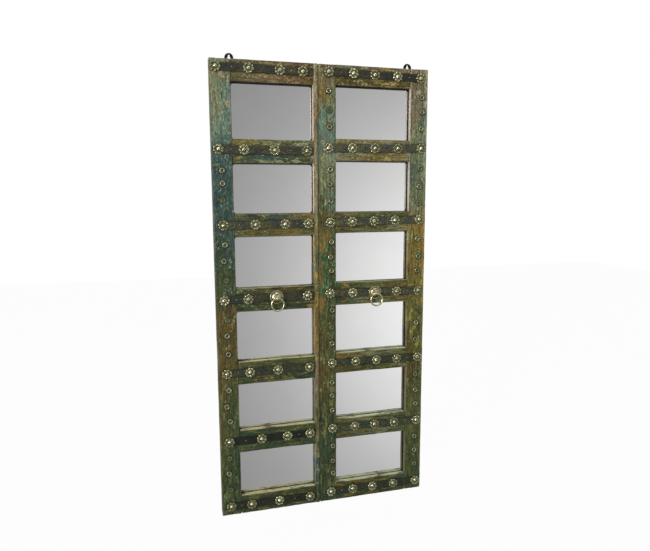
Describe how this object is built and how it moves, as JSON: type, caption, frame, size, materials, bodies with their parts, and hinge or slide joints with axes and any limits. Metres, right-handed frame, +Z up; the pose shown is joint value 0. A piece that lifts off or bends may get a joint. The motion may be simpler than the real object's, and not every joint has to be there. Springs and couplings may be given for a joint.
{
  "type": "wall mirror",
  "caption": "Tall wall mirror in an old mortised double-leaf door frame, with iron straps, brass flower rosettes, swinging ring pulls and keyhole hangers.",
  "frame": {"origin": "middle of the back of the leaves, half way up, on the plane that lies against the wall", "axes": "+X to the right seen from the front, +Y back into the wall, +Z up"},
  "size_m": [0.89, 0.0723, 1.858],
  "materials": {
    "painted_wood": "old green and brown paint, worn through to the wood",
    "mirror": "plain silvered glass",
    "iron": "dark, pitted, waxed",
    "brass": "old brass, bright on the high places",
    "stud_brass": "dull old brass with paint on it",
    "bare_wood": "bare",
    "black_metal": "black, satin",
    "screw_steel": "zinc plated"
  },
  "bodies": {
    "leaves": {"left_outer_stile": "painted_wood", "left_meeting_stile": "painted_wood", "right_meeting_stile": "painted_wood", "right_outer_stile": "painted_wood", "left_rail_1": "painted_wood", "left_rail_2": "painted_wood", "left_rail_3": "painted_wood", "left_rail_4": "painted_wood", "left_rail_5": "painted_wood", "left_rail_6": "painted_wood", "left_rail_7": "painted_wood", "right_rail_1": "painted_wood", "right_rail_2": "painted_wood", "right_rail_3": "painted_wood", "right_rail_4": "painted_wood", "right_rail_5": "painted_wood", "right_rail_6": "painted_wood", "right_rail_7": "painted_wood", "left_pane_1": "mirror", "left_pane_2": "mirror", "left_pane_3": "mirror", "left_pane_4": "mirror", "left_pane_5": "mirror", "left_pane_6": "mirror", "right_pane_1": "mirror", "right_pane_2": "mirror", "right_pane_3": "mirror", "right_pane_4": "mirror", "right_pane_5": "mirror", "right_pane_6": "mirror", "left_strap_1": "iron", "left_strap_2": "iron", "left_strap_3": "iron", "left_strap_4": "iron", "left_strap_5": "iron", "left_strap_6": "iron", "left_strap_7": "iron", "right_strap_1": "iron", "right_strap_2": "iron", "right_strap_3": "iron", "right_strap_4": "iron", "right_strap_5": "iron", "right_strap_6": "iron", "right_strap_7": "iron", "left_glazing_beads": "bare_wood", "left_rosettes": "brass", "left_pull_rose": "brass", "left_pull_eye": "brass", "left_hanger": "black_metal", "right_glazing_beads": "bare_wood", "right_rosettes": "brass", "right_pull_rose": "brass", "right_pull_eye": "brass", "right_hanger": "black_metal", "cup_studs": "stud_brass", "hanger_screws": "screw_steel", "seam_screws": "screw_steel"},
    "left_ring": {"left_pull_ring": "brass"},
    "right_ring": {"right_pull_ring": "brass"}
  },
  "joints": [
    {"name": "left_ring_swing", "type": "hinge", "parent": "leaves", "child": "left_ring", "pos_m": [-0.20306, -0.0644, -0.0035], "axis": [-1, 0, 0], "range_deg": [-20, 200]},
    {"name": "right_ring_swing", "type": "hinge", "parent": "leaves", "child": "right_ring", "pos_m": [0.219, -0.0644, -0.005], "axis": [-1, 0, 0], "range_deg": [-20, 200]}
  ]
}
